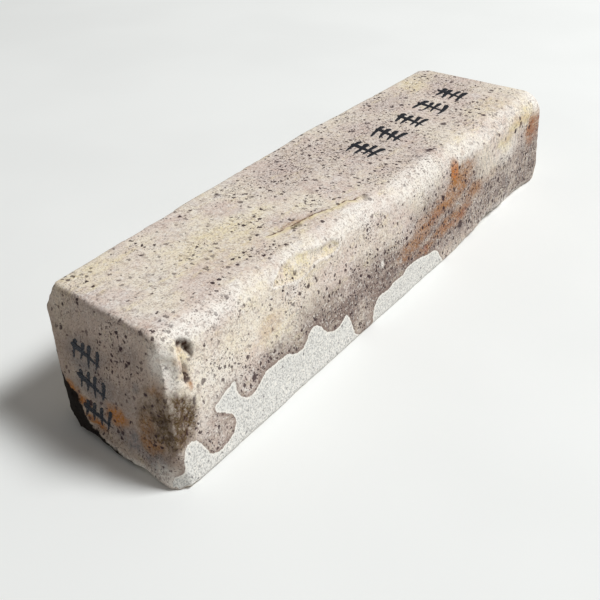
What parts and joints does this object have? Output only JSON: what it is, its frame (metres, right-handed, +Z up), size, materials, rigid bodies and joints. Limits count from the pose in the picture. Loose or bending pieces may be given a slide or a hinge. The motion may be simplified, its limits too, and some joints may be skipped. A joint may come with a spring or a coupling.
{
  "type": "sharpening whetstone",
  "caption": "Long natural sharpening stone, hand sawn and a little out of square, with a worn round ridge, raked ends and brush marks in black ink.",
  "frame": {"origin": "on the surface that the stone rests on, under the middle of its bounding box", "axes": "+X along the stone towards the end without marks, -Y towards the long side with the worn ridge, +Z up to the honing face"},
  "size_m": [0.2044, 0.0512, 0.0345],
  "materials": {
    "stone": "matte",
    "ink": "matte"
  },
  "bodies": {
    "root": {"whetstone_block": "stone", "top_ink_marks": "ink", "end_ink_marks": "ink"}
  },
  "joints": []
}
